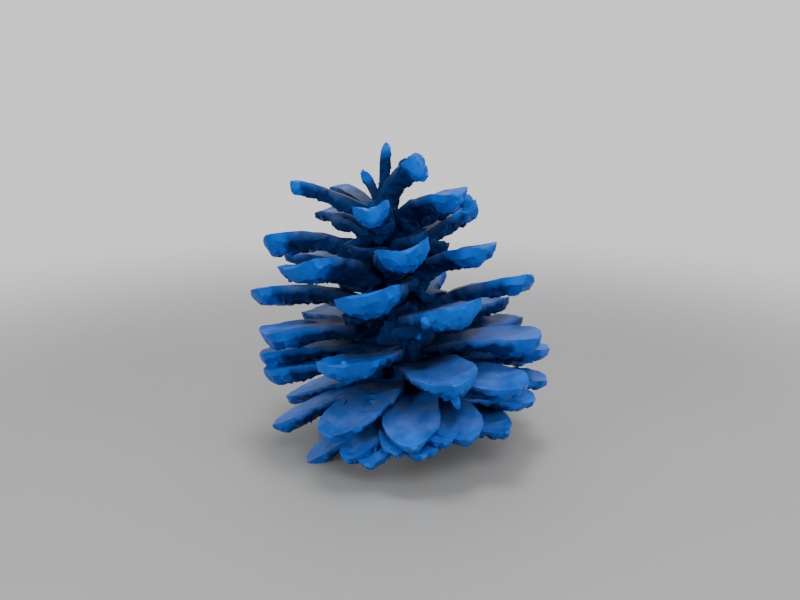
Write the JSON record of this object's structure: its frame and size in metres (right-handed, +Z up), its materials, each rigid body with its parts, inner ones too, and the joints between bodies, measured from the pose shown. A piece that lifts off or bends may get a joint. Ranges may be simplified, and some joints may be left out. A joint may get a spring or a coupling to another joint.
{
  "type": "pine cone",
  "caption": "Opened pine cone that stands on its base, with stiff woody scales spread in a spiral round a slightly leaning core.",
  "frame": {"origin": "middle of the ground under the standing cone", "axes": "+Z up from base to tip, +X to the right and -Y towards the viewer as pictured"},
  "size_m": [0.0664, 0.0642, 0.0688],
  "materials": {
    "cone": null
  },
  "bodies": {
    "root": {"pine_cone": "cone"}
  },
  "joints": []
}
